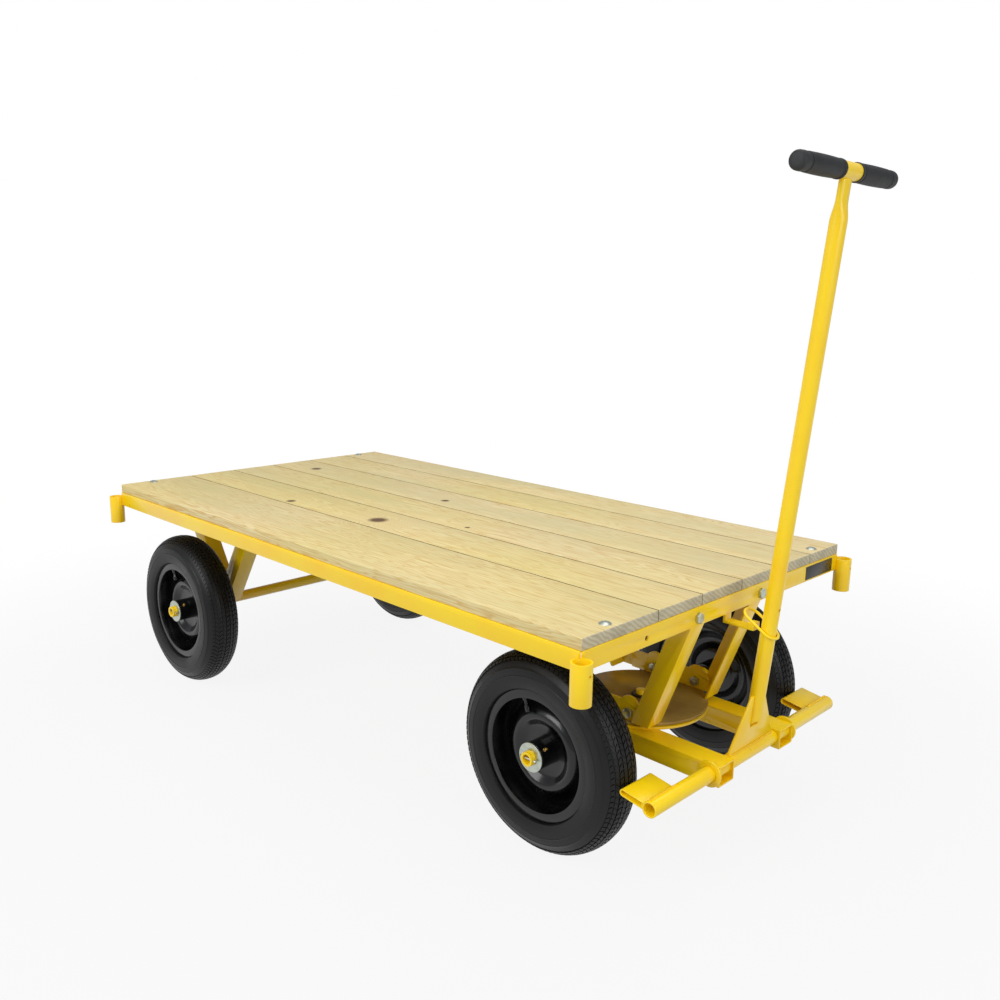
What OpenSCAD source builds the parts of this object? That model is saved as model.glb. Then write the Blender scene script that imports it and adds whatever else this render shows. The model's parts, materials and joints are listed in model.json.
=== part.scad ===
// Four-wheel platform wagon with a steered front carriage and a tilting pull handle.
// X points to the handle end, Y to the left side, Z up, and the tyres stand on z = 0.

/* [Deck] */
// Length over the frame
deck_l = 1500; // [1150:10:1900]
// Width over the frame
deck_w = 800; // [720:10:1000]
// Height of the frame's underside above the tyres
wheel_gap = 54; // [40:1:120]
// Thickness of the boards
board_t = 20; // [15:1:30]
// Width of one board
board_w = 123.5; // [90:0.5:180]
// Width of the trimmed board at the left edge
first_board_w = 115; // [70:1:120]
// Gap between neighbouring boards
board_gap = 0.6; // [0.2:0.1:3]
// How far the boards stand in from the frame's outer faces
board_inset = 1.5; // [0:0.5:3]

/* [Frame] */
// Leg of the frame's angle section
angle_s = 32; // [28:1:45]
// Thickness of the angle section
angle_t = 3; // [2:0.5:5]
// Width of the cross members
cross_w = 40; // [30:1:50]
// Height of the cross members
cross_h = 30; // [20:1:40]
// Wall of the cross members
cross_wall = 2; // [1.5:0.5:4]
// Outer diameter of the stake sockets
socket_d = 33.4; // [30:0.1:40]
// Wall of the stake sockets
socket_wall = 3.2; // [2:0.1:5]
// Length of the stake sockets
socket_h = 65; // [45:1:90]
// Step from the frame's top down to the sockets' rims
socket_drop = 10; // [6:1:20]
// Offset of the sockets' axes out from the frame's corners
socket_out = 7.5; // [6:0.5:10]
// Room left round a stake where it passes the frame and the boards
stake_room = 0.8; // [0.4:0.1:2]

/* [Wheels] */
// Outer diameter of the tyres
wheel_d = 360; // [320:1:420]
// Width of the tyres
tyre_w = 84; // [76:1:96]
// Wall of the tyres
tyre_wall = 8; // [6:0.5:11]
// Diameter over the rims' flanges
rim_d = 232; // [220:1:240]
// Thickness of the rims' steel
rim_t = 3; // [2:0.5:4]
// Length of the hubs
hub_l = 76; // [66:1:84]
// Outer diameter of the hubs
hub_d = 50; // [44:1:60]
// Diameter of the axles
axle_d = 25.4; // [20:0.1:28]
// Radial clearance of the hubs on the axles
hub_fit = 0.05; // [0.02:0.01:0.1]
// Middle of the front tyres from the centre line
front_track = 260; // [245:1:290]
// Middle of the rear tyres in from the frame's sides
rear_inset = 66; // [50:1:100]
// Front axle behind the kingpin
axle_trail = 6; // [0:1:20]
// Rear axle ahead of the frame's rear face
rear_back = 205; // [195:1:320]

/* [Turntable] */
// Kingpin behind the frame's front face
king_back = 178; // [165:1:190]
// Diameter of the turntable plates
plate_d = 250; // [230:2:280]
// Thickness of the turntable plates
plate_t = 5; // [4:0.5:8]
// Gap between the turntable plates
plate_gap = 3; // [2:0.5:6]
// Diameter of the kingpin
king_d = 20; // [14:1:24]
// Radial clearance of the kingpin in the upper plate
king_fit = 0.06; // [0.02:0.01:0.1]
// Outer face of the legs from the centre line
leg_y = 112; // [104:1:116]
// Depth of the legs' side flange
leg_side = 34; // [28:1:40]
// Width of the legs' front flange
leg_flange = 40; // [30:1:44]
// Thickness of the legs' steel
leg_t = 4; // [3:0.5:5]
// Thickness of the saddle plates
saddle_t = 5; // [4:0.5:6]
// Height of the saddle plates
saddle_h = 36; // [30:1:44]

/* [Drawbar and handle] */
// Width of the drawbar arms
arm_w = 45; // [38:1:50]
// Height of the drawbar arms
arm_h = 36; // [32:1:42]
// Wall of the drawbar arms
arm_wall = 2.5; // [2:0.5:4]
// Outer face of the arms from the centre line
arm_y = 121.5; // [115:0.5:126]
// Diameter of the cross tube, the handle tube and the T-bar
tube_d = 26.7; // [22:0.1:28.6]
// Wall of the tubes
tube_wall = 2.8; // [2:0.1:4]
// Cross tube ahead of the frame's front face
pivot_ahead = 54; // [48:1:80]
// Cross tube below the arms' top
pivot_drop = 16; // [15.5:0.5:20]
// How far the cross tube runs past the middle of the front tyres
pivot_over = 30; // [20:1:36]
// Radial clearance of the cross tube in the arms
pivot_fit = 0.08; // [0.04:0.01:0.1]
// Diameter of the collars on the cross tube
collar_d = 46; // [40:1:52]
// Thickness of the collars
collar_t = 4; // [3:0.5:6]
// Forward lean of the handle at rest
lean = 5.3; // [3:0.1:8]
// Cross tube to T-bar
handle_l = 958; // [850:1:1050]
// Length of the T-bar with its grips
tbar_l = 304; // [260:2:360]
// Wall of the grips
grip_wall = 2.7; // [2:0.1:6]
// Length of each grip
grip_l = 126; // [100:1:130]
// Thickness of the flattened brake pads
pad_t = 12; // [10:0.5:14]
// Length of the brake pads along the cross tube
pad_l = 76; // [60:1:90]
// Gap between the brake pads and the tyres at rest
pad_gap = 0.7; // [0.5:0.1:2]

/* [Latch] */
// Wire of the latch ring
ring_wire = 5; // [4:0.5:6]
// Clearance of the latch ring beside the handle tube
ring_side = 1.2; // [0.8:0.1:3]
// Gap between the latch ring's front bight and the handle tube
ring_seat = 0.4; // [0.3:0.1:0.9]
// Length of the latch ring over its centre line
ring_l = 70; // [66:1:74]
// Slope of the latch ring at rest
ring_slope = 32; // [30:1:36]
// Thickness of the bracket's tongue
tongue_t = 12; // [8:1:14]
// Width of the latch bracket
tongue_w = 20; // [16:1:24]

/* [Hidden] */
$fn = 48;
eps = 0.01;

yellow = "#F2C21A";
pine = "#E4D3A0";
zinc = "#B9BEC2";
rubber = "#1D1D20";
gloss_black = "#0E0E10";
charcoal = "#2A2C2D";
plate_dark = "#1A1A1C";

wheel_r = wheel_d / 2;
tube_r = tube_d / 2;
frame_low = wheel_d + wheel_gap;
frame_top = frame_low + angle_s;
deck_z = frame_top + board_t;
cross_low = frame_top - cross_h;
half_l = deck_l / 2;
half_w = deck_w / 2;

// board seams from the right edge to the left: whole boards, and a wide one takes the rest
boards_w = deck_w - 2 * board_inset;
whole = floor((boards_w - first_board_w - 60) / board_w) - 1;
seams = concat([-boards_w / 2],
  [for (i = [whole : -1 : 0]) boards_w / 2 - first_board_w - i * board_w], [boards_w / 2]);

// places along the deck
king_x = half_l - king_back;
front_x = king_x - axle_trail;
rear_x = half_l - rear_back;
pivot_x = half_l + pivot_ahead;
rear_track = half_w - rear_inset;
pivot_l = 2 * (front_track + pivot_over);
leg_run_rear = 150;
cross_front_x = king_x - 236;
middle_x = (cross_front_x - rear_x + leg_run_rear) / 2;

// turntable stack, from the axle up
lower_z = wheel_r + axle_d / 2 + 0.3;
turn_low = lower_z + plate_t;
turn_under = turn_low + plate_gap;
turn_z = turn_under + plate_t;
pivot_z = lower_z - pivot_drop;
grip_d = tube_d + 2 * grip_wall;
ring_w = tube_d + ring_wire + 2 * ring_side;
socket_bore = socket_d - 2 * socket_wall;
stake_hole = socket_bore + 2 * stake_room;

// rim and tyre section
rim_r = rim_d / 2;
seat_r = rim_r - 13;
seat_w = 30;
ring_r = wheel_r - tyre_w / 2;
valve_d = 8;
valve_y = 20;
nipple_d = 7;

// axles
axle_end = 10;
washer_t = 3;
washer_d = 52;
shoulder_t = 6;
end_play = 0.5;
pin_d = 4;
pin_l = 36;

// bolts
bolt_x = half_l - 20;
bolt_y = half_w - 78;
rail_bolt_y = 100;
rail_bolt_z = frame_top - 18;
bolt_d = 10;
hex_d = 19.6;
saddle_bolt_dx = [-44, 52];
saddle_bolt_z = turn_z + 15;

// legs of the turntable
leg_foot_x = king_x + 97;
leg_head_x = half_l - angle_t;
leg_bend_z = rail_bolt_z - hex_d / 2 - 1.2;
leg_slope = atan((leg_head_x - leg_foot_x) / (leg_bend_z - turn_z));
back_foot_x = king_x - 90;
back_head_x = cross_front_x + cross_w / 2;
back_slope = atan((back_foot_x - back_head_x) / (cross_low - turn_z));

// drawbar arms
arm_top = lower_z;
arm_low = arm_top - arm_h;
arm_back_x = king_x - 52;
arm_front_x = pivot_x + tube_r + 4.6;

// rear legs
rleg_s = 40;
rleg_y = rear_track - 84;
rleg_wall = 2;
rleg_slope = atan(leg_run_rear / (cross_low - wheel_r));

// brake pads: their far edge stops short of the tyre
pad_r = pad_t / 2;
pad_tip_z = pivot_z + 8.2;
pad_tip_x = front_x + sqrt(pow(wheel_r + pad_gap + pad_r, 2) - pow(pad_tip_z - wheel_r, 2));
pad_rise = atan((pad_tip_z - pivot_z) / (pivot_x - pad_tip_x));
pad_reach = (pivot_x - pad_tip_x) / cos(pad_rise);
pad_wall = 2;

// handle foot
gusset_t = 5;
gusset_w = 140;
gusset_top_w = 40;
gusset_top = 108;
tube_foot = 48;

// latch: the ring's front bight sits ahead of the handle tube
ring_under = 23;
ring_front_z = frame_low - ring_under;
tube_face_x = pivot_x + (ring_front_z - pivot_z) * tan(lean) + tube_r / cos(lean);
ring_front_x = tube_face_x + ring_wire / 2 + ring_seat;
bracket_t = 5;
bracket_low = ring_front_z + 5;
tongue_x = pivot_x - 2;
tongue_top = bracket_low + 13;

// the origin lies under the middle of the overall length
front_most = pivot_x + handle_l * sin(lean) + grip_d / 2;
rear_most = -half_l - socket_out - socket_d / 2;
shift_x = -(front_most + rear_most) / 2;

// node to build, or all of them

// moves a node from the deck's middle to the part's origin
module placed() {
  translate([shift_x, 0, 0])
    children();
}

// ---- shared shapes ----

// rod or bore along Y, centred
module rod_y(d, l) {
  rotate([90, 0, 0])
    cylinder(d = d, h = l, center = true);
}

// rod along X, centred
module rod_x(d, l) {
  rotate([0, 90, 0])
    cylinder(d = d, h = l, center = true);
}

// round tube along Y, centred
module tube_y(d, wall, l) {
  difference() {
    rod_y(d, l);
    rod_y(d - 2 * wall, l + 2);
  }
}

// hex head or nut along Z, standing on z = 0
module hex_head(d, h) {
  cylinder(d = d, h = h, $fn = 6);
}

// bolt along +X through plates from x = 0 back to x = -grip, head in front
module bolt_x_way(d, hex, grip) {
  rotate([0, 90, 0]) {
    hex_head(hex, 0.65 * d);
    translate([0, 0, -grip - 12])
      cylinder(d = d, h = grip + 12);
    translate([0, 0, -grip - 0.8 * d])
      hex_head(hex, 0.8 * d);
  }
}

// angle section along X: outer face at y = 0, top face at z = 0, the rest at y > 0
module angle_bar(l) {
  translate([-l / 2, 0, 0])
    rotate([90, 0, 90])
      linear_extrude(l)
        polygon([[0, 0], [0, -angle_s], [angle_t, -angle_s], [angle_t, -angle_t],
          [angle_s, -angle_t], [angle_s, 0]]);
}

// one side of the frame with mitred ends, cut out round the sockets
module mitred_bar(l) {
  difference() {
    angle_bar(l);
    for (s = [-1, 1]) {
      translate([s * l / 2, 0, -angle_s - 1])
        rotate([0, 0, s > 0 ? 45 : 135])
          translate([-0.3, -80, 0])
            cube([80, 160, angle_s + 2]);
      translate([s * (l / 2 + socket_out), -socket_out, -angle_s - 1])
        cylinder(d = socket_d, h = angle_s + 1 - socket_drop);
      translate([s * (l / 2 + socket_out), -socket_out, -angle_s - 1])
        cylinder(d = stake_hole, h = angle_s + 2);
    }
  }
}

// ---- deck and frame ----

module deck_boards() {
  color(pine)
    difference() {
      for (i = [0 : len(seams) - 2])
        translate([-half_l + board_inset, seams[i] + board_gap / 2, frame_top])
          cube([deck_l - 2 * board_inset, seams[i + 1] - seams[i] - board_gap, board_t]);
      for (sx = [-1, 1], sy = [-1, 1])
        translate([sx * bolt_x, sy * bolt_y, frame_top - 1])
          cylinder(d = bolt_d, h = board_t + 2);
      for (sx = [-1, 1], sy = [-1, 1])
        translate([sx * (half_l + socket_out), sy * (half_w + socket_out), frame_top - 1])
          cylinder(d = stake_hole, h = board_t + 2);
    }
}

module side_rail(s) {
  color(yellow)
    difference() {
      translate([0, s * half_w, frame_top])
        rotate([0, 0, s < 0 ? 0 : 180])
          mitred_bar(deck_l);
      for (sx = [-1, 1])
        translate([sx * bolt_x, s * bolt_y, frame_top - 10])
          cylinder(d = bolt_d, h = 20);
    }
}

module side_rail_right() {
  side_rail(-1);
}

module side_rail_left() {
  side_rail(1);
}

module front_rail() {
  color(yellow)
    difference() {
      translate([half_l, 0, frame_top])
        rotate([0, 0, 90])
          mitred_bar(deck_w);
      for (sy = [-1, 1]) {
        translate([bolt_x, sy * bolt_y, frame_top - 10])
          cylinder(d = bolt_d, h = 20);
        translate([half_l, sy * rail_bolt_y, rail_bolt_z])
          rod_x(bolt_d, 20);
      }
      translate([half_l, -half_w + 158, rail_bolt_z])
        rod_x(9, 20);
    }
}

module rear_rail() {
  color(yellow)
    difference() {
      translate([-half_l, 0, frame_top])
        rotate([0, 0, -90])
          mitred_bar(deck_w);
      for (sy = [-1, 1])
        translate([-bolt_x, sy * bolt_y, frame_top - 10])
          cylinder(d = bolt_d, h = 20);
    }
}

// rectangular tube across the frame, ends under the side rails' flanges
module cross_member(x) {
  l = deck_w - 2 * angle_t;
  ledge = angle_s - angle_t;
  color(yellow)
    translate([x - cross_w / 2, -l / 2, cross_low])
      difference() {
        cube([cross_w, l, cross_h]);
        translate([cross_wall, -1, cross_wall])
          cube([cross_w - 2 * cross_wall, l + 2, cross_h - 2 * cross_wall]);
        for (y = [-1, l - ledge])
          translate([-1, y, cross_h - angle_t])
            cube([cross_w + 2, ledge + 1, angle_t + 1]);
        for (end_x = [-half_l, half_l - angle_s])
          translate([end_x - x + cross_w / 2, -1, cross_h - angle_t])
            cube([angle_s, l + 2, angle_t + 1]);
      }
}

module cross_member_rear() {
  cross_member(-rear_x - leg_run_rear);
}

module cross_member_axle() {
  cross_member(-rear_x + leg_run_rear);
}

module cross_member_middle() {
  cross_member(middle_x);
}

module cross_member_front() {
  cross_member(cross_front_x);
}

// stake socket: an open tube with a small cross hole near its rim
module socket(sx, sy) {
  color(yellow)
    translate([sx * (half_l + socket_out), sy * (half_w + socket_out),
        frame_top - socket_drop - socket_h])
      difference() {
        cylinder(d = socket_d, h = socket_h);
        translate([0, 0, -1])
          cylinder(d = socket_bore, h = socket_h + 2);
        translate([sx * socket_d / 2, 0, socket_h - 18])
          rod_x(5, socket_d / 2);
      }
}

module socket_front_right() {
  socket(1, -1);
}

module socket_front_left() {
  socket(1, 1);
}

module socket_rear_right() {
  socket(-1, -1);
}

module socket_rear_left() {
  socket(-1, 1);
}

// carriage bolts at the deck's corners, with nuts under the frame's flange
module deck_bolts() {
  color(zinc)
    for (sx = [-1, 1], sy = [-1, 1])
      translate([sx * bolt_x, sy * bolt_y, 0]) {
        translate([0, 0, deck_z])
          intersection() {
            translate([0, 0, -12])
              sphere(r = 16);
            cylinder(d = 30, h = 10);
          }
        translate([0, 0, frame_top - angle_t - 14])
          cylinder(d = bolt_d, h = board_t + angle_t + 14);
        translate([0, 0, frame_top - angle_t - 8])
          hex_head(hex_d, 8);
      }
}

// hex bolts through the front rail and through the saddle plates
module frame_bolts() {
  color(zinc) {
    for (sy = [-1, 1])
      translate([half_l, sy * rail_bolt_y, rail_bolt_z])
        bolt_x_way(bolt_d, hex_d, angle_t + leg_t);
    for (sy = [-1, 1], dx = saddle_bolt_dx)
      translate([king_x + dx, sy * (leg_y - leg_t), saddle_bolt_z])
        rotate([0, 0, sy * 90])
          bolt_x_way(bolt_d, hex_d, saddle_t);
  }
}

// blank dark plate on the front rail
module label_plate() {
  color(plate_dark)
    translate([half_l, half_w - 133, frame_low + 3])
      cube([0.8, 106, angle_s - 6]);
}

// flat bar from behind the front rail to a tongue just behind the handle
module latch_bracket() {
  back_x = half_l - angle_t - bracket_t;
  color(yellow)
    translate([0, -tongue_w / 2, 0]) {
      translate([back_x, 0, bracket_low])
        cube([bracket_t, tongue_w, frame_top - angle_t - bracket_low]);
      translate([back_x, 0, bracket_low])
        cube([tongue_x - back_x, tongue_w, bracket_t]);
      translate([tongue_x - tongue_t, 0, bracket_low])
        cube([tongue_t, tongue_w, tongue_top - bracket_low]);
    }
}

// ---- turntable, upper half ----

module turntable_upper_plate() {
  color(yellow)
    translate([king_x, 0, turn_under])
      difference() {
        cylinder(d = plate_d, h = plate_t, $fn = 96);
        translate([0, 0, -1])
          cylinder(r = king_d / 2 + king_fit, h = plate_t + 2);
      }
}

// upright plate along the turntable's side, with two rounded humps over its bolts
module saddle_plate(s) {
  y = s > 0 ? leg_y - leg_t : -leg_y + leg_t + saddle_t;
  color(yellow)
    translate([king_x, y, turn_z])
      rotate([90, 0, 0])
        linear_extrude(saddle_t)
          difference() {
            union() {
              translate([-100, 0])
                square([166, saddle_h]);
              translate([66, 0])
                square([16, saddle_h - 16]);
              translate([66, saddle_h - 16])
                circle(r = 16);
              for (dx = saddle_bolt_dx)
                translate([dx, saddle_h - 12])
                  circle(r = 22);
            }
            for (dx = saddle_bolt_dx)
              translate([dx, saddle_bolt_z - turn_z])
                circle(d = bolt_d);
          }
}

module saddle_plate_right() {
  saddle_plate(-1);
}

module saddle_plate_left() {
  saddle_plate(1);
}

// outline in XZ drawn as a plate along Y, its outer face at leg_y on the right side
module leg_plate(outline, w) {
  translate([0, -leg_y + w, 0])
    rotate([90, 0, 0])
      linear_extrude(w)
        polygon(outline);
}

// pressed leg: a side web and a front flange that bends up against the front rail
module front_leg(s) {
  web = leg_side / cos(leg_slope);
  skin = leg_t / cos(leg_slope);
  bend_in = (skin - leg_t) / tan(leg_slope);
  top_z = frame_top - 5;
  color(yellow)
    mirror([0, s < 0 ? 0 : 1, 0])
      difference() {
        union() {
          leg_plate([[leg_foot_x, turn_z], [leg_head_x, leg_bend_z],
            [leg_head_x - web, leg_bend_z], [leg_foot_x - web, turn_z]], leg_t);
          leg_plate([[leg_foot_x, turn_z], [leg_head_x, leg_bend_z], [leg_head_x, top_z],
            [leg_head_x - leg_t, top_z], [leg_head_x - leg_t, leg_bend_z + bend_in],
            [leg_foot_x - skin, turn_z]], leg_flange);
        }
        translate([leg_head_x, -rail_bolt_y, rail_bolt_z])
          rod_x(bolt_d, 40);
      }
}

module front_leg_right() {
  front_leg(-1);
}

module front_leg_left() {
  front_leg(1);
}

// leg leaning back to the front cross member: a side web with its flange behind
module back_leg(s) {
  web = leg_side / cos(back_slope);
  skin = leg_t / cos(back_slope);
  color(yellow)
    mirror([0, s < 0 ? 0 : 1, 0]) {
      leg_plate([[back_foot_x, turn_z], [back_head_x, cross_low],
        [back_head_x - web, cross_low], [back_foot_x - web, turn_z]], leg_t);
      leg_plate([[back_foot_x - web + skin, turn_z], [back_head_x - web + skin, cross_low],
        [back_head_x - web, cross_low], [back_foot_x - web, turn_z]], leg_flange);
    }
}

module back_leg_right() {
  back_leg(-1);
}

module back_leg_left() {
  back_leg(1);
}

// ---- axles ----

// axle tube along Y with fixed shoulders inside the hubs and cross holes for the pins
module axle(track) {
  end_y = track + hub_l / 2 + end_play + washer_t + axle_end;
  difference() {
    union() {
      rod_y(axle_d, 2 * end_y);
      for (s = [-1, 1])
        translate([0, s * (track - hub_l / 2 - end_play - shoulder_t / 2), 0])
          rod_y(axle_d + 12, shoulder_t);
    }
    rod_y(axle_d - 8, 2 * end_y + 2);
    for (s = [-1, 1])
      translate([0, s * (end_y - axle_end / 2), 0])
        rod_x(pin_d, axle_d + 2);
  }
}

// outer washers and cross pins that keep the wheels on
module retainers(track) {
  washer_y = track + hub_l / 2 + end_play + washer_t / 2;
  end_y = washer_y + washer_t / 2 + axle_end;
  for (s = [-1, 1]) {
    translate([0, s * washer_y, 0])
      difference() {
        rod_y(washer_d, washer_t);
        rod_y(axle_d, washer_t + 2);
      }
    translate([0, s * (end_y - axle_end / 2), 0])
      rod_x(pin_d, pin_l);
  }
}

module front_axle() {
  color(yellow)
    translate([front_x, 0, wheel_r])
      axle(front_track);
}

module front_axle_retainers() {
  color(zinc)
    translate([front_x, 0, wheel_r])
      retainers(front_track);
}

module rear_axle() {
  color(yellow)
    translate([-rear_x, 0, wheel_r])
      axle(rear_track);
}

module rear_axle_retainers() {
  color(zinc)
    translate([-rear_x, 0, wheel_r])
      retainers(rear_track);
}

// square tube from the rear axle up to a cross member, coped round the axle
module rear_leg(sx, sy) {
  l = cross_low - wheel_r;
  y = sy > 0 ? rleg_y - rleg_s : -rleg_y;
  color(yellow)
    difference() {
      intersection() {
        translate([-rear_x, y, wheel_r])
          rotate([0, sx * rleg_slope, 0])
            translate([-rleg_s / 2, 0, -60])
              difference() {
                cube([rleg_s, rleg_s, l + 160]);
                translate([rleg_wall, rleg_wall, -1])
                  cube([rleg_s - 2 * rleg_wall, rleg_s - 2 * rleg_wall, l + 162]);
              }
        translate([-rear_x + (sx > 0 ? 0 : -300), y - 1, wheel_r])
          cube([300, rleg_s + 2, l]);
      }
      translate([-rear_x, 0, wheel_r])
        rod_y(axle_d, 2 * rleg_y + 20);
    }
}

module rear_leg_right_front() {
  rear_leg(1, -1);
}

module rear_leg_right_back() {
  rear_leg(-1, -1);
}

module rear_leg_left_front() {
  rear_leg(1, 1);
}

module rear_leg_left_back() {
  rear_leg(-1, 1);
}

// ---- steered carriage ----

module turntable_lower_plate() {
  color(yellow)
    translate([king_x, 0, lower_z])
      difference() {
        cylinder(d = plate_d, h = plate_t, $fn = 96);
        translate([0, 0, -1])
          cylinder(d = king_d, h = plate_t + 2);
      }
}

module kingpin() {
  color(yellow)
    translate([king_x, 0, lower_z])
      cylinder(d = king_d, h = turn_z + 11 - lower_z);
}

// washer between the plates and a smaller one on top, both on the kingpin
module thrust_washers() {
  color(gloss_black)
    translate([king_x, 0, 0]) {
      translate([0, 0, turn_low])
        difference() {
          cylinder(d = 130, h = plate_gap - 0.5);
          translate([0, 0, -1])
            cylinder(d = king_d, h = plate_gap + 2);
        }
      translate([0, 0, turn_z + 0.5])
        difference() {
          cylinder(d = 36, h = 3);
          translate([0, 0, -1])
            cylinder(d = king_d, h = 5);
        }
    }
}

// rectangular tube from behind the kingpin to the cross tube
module drawbar_arm(s) {
  y = s > 0 ? arm_y - arm_w : -arm_y;
  color(yellow)
    difference() {
      translate([arm_back_x, y, arm_low])
        cube([arm_front_x - arm_back_x, arm_w, arm_h]);
      translate([arm_back_x - 1, y + arm_wall, arm_low + arm_wall])
        cube([arm_front_x - arm_back_x + 2, arm_w - 2 * arm_wall, arm_h - 2 * arm_wall]);
      translate([front_x, 0, wheel_r])
        rod_y(axle_d, 2 * arm_y + 20);
      translate([pivot_x, 0, pivot_z])
        rod_y(tube_d + 2 * pivot_fit, 2 * arm_y + 20);
    }
}

module drawbar_arm_right() {
  drawbar_arm(-1);
}

module drawbar_arm_left() {
  drawbar_arm(1);
}

// ---- handle ----

module cross_tube() {
  color(yellow)
    translate([pivot_x, 0, pivot_z])
      tube_y(tube_d, tube_wall, pivot_l);
}

// discs on the cross tube, just outside the arms
module pivot_collars() {
  color(yellow)
    for (s = [-1, 1])
      translate([pivot_x, s * (arm_y + 0.5 + collar_t / 2), pivot_z])
        difference() {
          rod_y(collar_d, collar_t);
          rod_y(tube_d, collar_t + 2);
        }
}

// flattened tube behind the cross tube: an open slot section with rounded edges
module brake_pad(s) {
  y = s * (pivot_l / 2 - pad_l / 2);
  color(yellow)
    difference() {
      translate([pivot_x, y, pivot_z])
        rotate([0, pad_rise, 0])
          difference() {
            union() {
              translate([-pad_reach, 0, 0])
                rod_y(pad_t, pad_l);
              translate([-pad_reach, -pad_l / 2, -pad_r])
                cube([pad_reach - tube_r + 4, pad_l, pad_t]);
            }
            translate([-pad_reach, 0, 0])
              rod_y(pad_t - 2 * pad_wall, pad_l + 2);
            translate([-pad_reach, -pad_l / 2 - 1, -pad_r + pad_wall])
              cube([pad_reach - tube_r - pad_wall, pad_l + 2, pad_t - 2 * pad_wall]);
          }
      translate([pivot_x, 0, pivot_z])
        rod_y(tube_d, pivot_l + 2);
    }
}

module brake_pad_right() {
  brake_pad(-1);
}

module brake_pad_left() {
  brake_pad(1);
}

// moves children into the leaning handle's own frame, origin on the cross tube
module in_handle() {
  translate([pivot_x, 0, pivot_z])
    rotate([0, lean, 0])
      children();
}

// trapezoid plate welded on the cross tube, slotted for the handle tube
module handle_gusset() {
  color(yellow)
    in_handle()
      difference() {
        translate([-gusset_t / 2, 0, 0])
          rotate([90, 0, 90])
            linear_extrude(gusset_t)
              polygon([[-gusset_w / 2, 0], [gusset_w / 2, 0], [gusset_w / 2, tube_r + 3],
                [gusset_top_w / 2, gusset_top], [-gusset_top_w / 2, gusset_top],
                [-gusset_w / 2, tube_r + 3]]);
        rod_y(tube_d, gusset_w + 2);
        translate([0, 0, tube_foot])
          cylinder(d = tube_d, h = gusset_top);
      }
}

// handle tube: obliquely cut foot, flattened neck coped to the T-bar
module handle_tube() {
  neck = 60;
  neck_slope = 3.8;
  color(yellow)
    in_handle()
      difference() {
        translate([0, 0, tube_foot])
          cylinder(d = tube_d, h = handle_l - tube_foot);
        translate([0, 0, tube_foot + 30])
          cylinder(d = tube_d - 2 * tube_wall, h = handle_l - tube_foot - 30 - neck - 30);
        for (s = [-1, 1])
          translate([s * (tube_d / 2 + 0.2), 0, handle_l - neck])
            rotate([0, -s * neck_slope, 0])
              translate([s * 10, 0, 40])
                cube([20, tube_d + 2, 80], center = true);
        translate([tube_r, 0, tube_foot])
          rotate([0, 45, 0])
            cube([24, tube_d + 2, 24], center = true);
        translate([0, 0, handle_l])
          rod_y(tube_d, tube_d + 20);
        translate([tube_r, 0, 266])
          rod_x(6, 14);
      }
}

module t_bar() {
  color(yellow)
    in_handle()
      translate([0, 0, handle_l])
        tube_y(tube_d, tube_wall, tbar_l - 8);
}

// closed grip with a domed end, pushed on the T-bar
module grip(s) {
  end_y = tbar_l / 2;
  dome = 6;
  color(charcoal)
    in_handle()
      translate([0, 0, handle_l])
        rotate([-s * 90, 0, 0])
          difference() {
            union() {
              translate([0, 0, end_y - grip_l])
                cylinder(d = grip_d, h = grip_l - dome);
              translate([0, 0, end_y - dome])
                cylinder(d1 = grip_d, d2 = grip_d - 8, h = dome);
            }
            translate([0, 0, end_y - grip_l - 1])
              cylinder(d = tube_d, h = grip_l + 1 - 4);
          }
}

module grip_right() {
  grip(-1);
}

module grip_left() {
  grip(1);
}

// oval wire link round the handle tube, sloping down to its front bight
module latch_ring() {
  bend_r = ring_w / 2;
  straight = ring_l - ring_w;
  color(yellow)
    translate([ring_front_x, 0, ring_front_z])
      rotate([0, ring_slope, 0])
        translate([-bend_r, 0, 0]) {
          rotate([0, 0, -90])
            rotate_extrude(angle = 180)
              translate([bend_r, 0])
                circle(d = ring_wire, $fn = 24);
          translate([-straight, 0, 0])
            rotate([0, 0, 90])
              rotate_extrude(angle = 180)
                translate([bend_r, 0])
                  circle(d = ring_wire, $fn = 24);
          for (s = [-1, 1])
            translate([-straight / 2, s * bend_r, 0])
              rotate([0, 90, 0])
                cylinder(d = ring_wire, h = straight, center = true, $fn = 24);
        }
}

// ---- wheels ----

// hollow tyre, open towards the rim, its beads on the rim's seats
module tyre() {
  inner_r = tyre_w / 2 - tyre_wall;
  rotate([90, 0, 0])
    rotate_extrude($fn = 96)
      difference() {
        union() {
          translate([ring_r, 0])
            circle(d = tyre_w);
          translate([seat_r, -seat_w])
            square([ring_r - seat_r, 2 * seat_w]);
        }
        translate([ring_r, 0])
          circle(r = inner_r);
        translate([0, -seat_w + tyre_wall])
          square([ring_r, 2 * (seat_w - tyre_wall)]);
        translate([0, -tyre_w])
          square([seat_r, 2 * tyre_w]);
        for (s = [-1, 1])
          translate([0, s > 0 ? seat_w : -seat_w - tyre_w])
            square([rim_r, tyre_w]);
      }
}

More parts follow.
